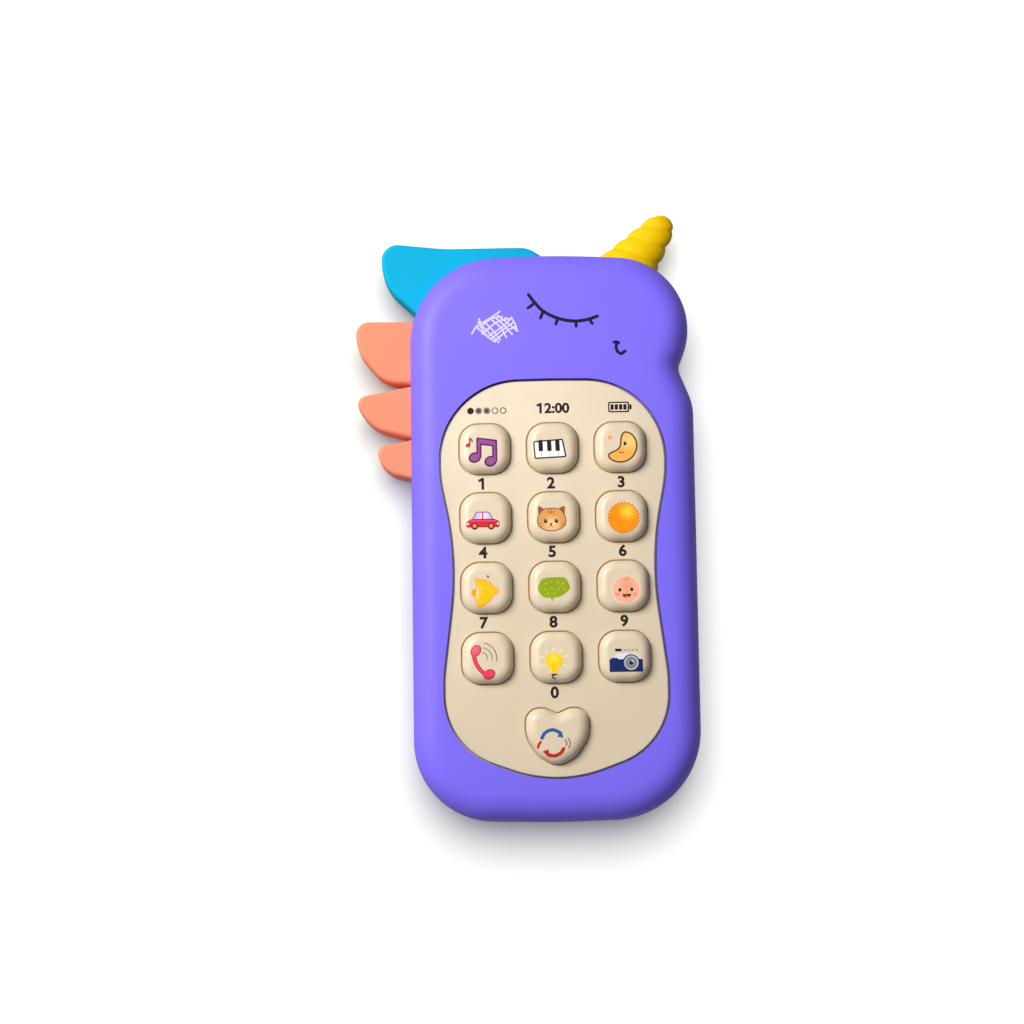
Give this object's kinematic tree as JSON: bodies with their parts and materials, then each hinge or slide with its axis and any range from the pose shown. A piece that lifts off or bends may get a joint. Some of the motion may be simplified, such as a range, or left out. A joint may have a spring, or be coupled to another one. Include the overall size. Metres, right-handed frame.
{
  "type": "toy cell phone",
  "caption": "Toddler's toy phone shaped like a sleeping unicorn, with squircle picture keys, a heart key, soft mane locks and a spiral horn.",
  "frame": {"origin": "centre of the flat rear face, midway between the straight sides and between top and bottom of the hard shell", "axes": "+Z out of the keypad, +Y towards the head with the horn, +X towards the muzzle; the phone lies on its back"},
  "size_m": [0.0961, 0.1743, 0.0282],
  "materials": {
    "violet_plastic": "soft satin moulded ABS",
    "cream_plastic": "glossy moulded ABS",
    "knob_plastic": "satin moulded ABS",
    "blue_rubber": "soft matt elastomer",
    "coral_rubber": "soft matt elastomer",
    "yellow_rubber": "soft matt elastomer",
    "silicone": "translucent matt silicone",
    "board_green": "lacquered glass-fibre board",
    "black_resin": "smooth resin",
    "led_plastic": "clear lens plastic",
    "steel": "nickel plated",
    "magnet": "sintered ferrite with a steel cup",
    "paper_cone": "pressed paper",
    "battery_label": "printed foil label",
    "capacitor_sleeve": "shrink sleeve",
    "wire_red": "PVC insulation",
    "wire_black": "PVC insulation",
    "wire_blue": "PVC insulation",
    "wire_yellow": "PVC insulation"
  },
  "bodies": {
    "housing": {"front_shell": "violet_plastic", "rear_shell": "violet_plastic", "keypad_panel": "cream_plastic", "mane_lock_blue": "blue_rubber", "mane_lock_upper": "coral_rubber", "mane_lock_middle": "coral_rubber", "mane_lock_lower": "coral_rubber", "horn": "yellow_rubber", "rubber_keypad": "silicone", "circuit_board": "board_green", "sound_chip": "black_resin", "indicator_leds": "led_plastic", "capacitor": "capacitor_sleeve", "resistors": "black_resin", "speaker_basket": "steel", "speaker_cone": "paper_cone", "speaker_magnet": "magnet", "speaker_screws": "steel", "contact_positive": "steel", "contact_negative": "steel", "bridge_contact_upper": "steel", "bridge_contact_lower": "steel", "switch_body": "steel", "battery_wire_red": "wire_red", "battery_wire_black": "wire_black", "speaker_wires": "wire_blue", "switch_wires": "wire_yellow", "case_screws": "steel", "board_screws": "steel", "battery_1": "battery_label", "battery_2": "battery_label", "battery_3": "battery_label"},
    "button_music": {"key_music": "cream_plastic"},
    "button_piano": {"key_piano": "cream_plastic"},
    "button_moon": {"key_moon": "cream_plastic"},
    "button_car": {"key_car": "cream_plastic"},
    "button_cat": {"key_cat": "cream_plastic"},
    "button_sun": {"key_sun": "cream_plastic"},
    "button_bell": {"key_bell": "cream_plastic"},
    "button_bubble": {"key_bubble": "cream_plastic"},
    "button_baby": {"key_baby": "cream_plastic"},
    "button_call": {"key_call": "cream_plastic"},
    "button_bulb": {"key_bulb": "cream_plastic"},
    "button_camera": {"key_camera": "cream_plastic"},
    "button_heart": {"key_heart": "cream_plastic"},
    "power_switch": {"switch_knob": "knob_plastic"},
    "bay_door": {"battery_door": "violet_plastic"},
    "bay_screw": {"door_screw": "steel"}
  },
  "joints": [
    {"name": "press_music", "type": "slide", "parent": "housing", "child": "button_music", "axis": [0, 0, -1], "range_m": [0, 0.0012], "stiffness_N_per_m": 400, "springref_m": -0.0006, "deforming": ["rubber_keypad"]},
    {"name": "press_piano", "type": "slide", "parent": "housing", "child": "button_piano", "axis": [0, 0, -1], "range_m": [0, 0.0012], "stiffness_N_per_m": 400, "springref_m": -0.0006, "deforming": ["rubber_keypad"]},
    {"name": "press_moon", "type": "slide", "parent": "housing", "child": "button_moon", "axis": [0, 0, -1], "range_m": [0, 0.0012], "stiffness_N_per_m": 400, "springref_m": -0.0006, "deforming": ["rubber_keypad"]},
    {"name": "press_car", "type": "slide", "parent": "housing", "child": "button_car", "axis": [0, 0, -1], "range_m": [0, 0.0012], "stiffness_N_per_m": 400, "springref_m": -0.0006, "deforming": ["rubber_keypad"]},
    {"name": "press_cat", "type": "slide", "parent": "housing", "child": "button_cat", "axis": [0, 0, -1], "range_m": [0, 0.0012], "stiffness_N_per_m": 400, "springref_m": -0.0006, "deforming": ["rubber_keypad"]},
    {"name": "press_sun", "type": "slide", "parent": "housing", "child": "button_sun", "axis": [0, 0, -1], "range_m": [0, 0.0012], "stiffness_N_per_m": 400, "springref_m": -0.0006, "deforming": ["rubber_keypad"]},
    {"name": "press_bell", "type": "slide", "parent": "housing", "child": "button_bell", "axis": [0, 0, -1], "range_m": [0, 0.0012], "stiffness_N_per_m": 400, "springref_m": -0.0006, "deforming": ["rubber_keypad"]},
    {"name": "press_bubble", "type": "slide", "parent": "housing", "child": "button_bubble", "axis": [0, 0, -1], "range_m": [0, 0.0012], "stiffness_N_per_m": 400, "springref_m": -0.0006, "deforming": ["rubber_keypad"]},
    {"name": "press_baby", "type": "slide", "parent": "housing", "child": "button_baby", "axis": [0, 0, -1], "range_m": [0, 0.0012], "stiffness_N_per_m": 400, "springref_m": -0.0006, "deforming": ["rubber_keypad"]},
    {"name": "press_call", "type": "slide", "parent": "housing", "child": "button_call", "axis": [0, 0, -1], "range_m": [0, 0.0012], "stiffness_N_per_m": 400, "springref_m": -0.0006, "deforming": ["rubber_keypad"]},
    {"name": "press_bulb", "type": "slide", "parent": "housing", "child": "button_bulb", "axis": [0, 0, -1], "range_m": [0, 0.0012], "stiffness_N_per_m": 400, "springref_m": -0.0006, "deforming": ["rubber_keypad"]},
    {"name": "press_camera", "type": "slide", "parent": "housing", "child": "button_camera", "axis": [0, 0, -1], "range_m": [0, 0.0012], "stiffness_N_per_m": 400, "springref_m": -0.0006, "deforming": ["rubber_keypad"]},
    {"name": "press_heart", "type": "slide", "parent": "housing", "child": "button_heart", "axis": [0, 0, -1], "range_m": [0, 0.0012], "stiffness_N_per_m": 400, "springref_m": -0.0006, "deforming": ["rubber_keypad"]},
    {"name": "power_slide", "type": "slide", "parent": "housing", "child": "power_switch", "axis": [1, 0, 0], "range_m": [0, 0.004]},
    {"name": "door_lift", "type": "slide", "parent": "housing", "child": "bay_door", "axis": [0, 0, -1], "range_m": [0, 0.025]},
    {"name": "screw_turn", "type": "hinge", "parent": "bay_door", "child": "bay_screw", "pos_m": [0, -0.0685, 0], "axis": [0, 0, 1], "continuous": true}
  ]
}
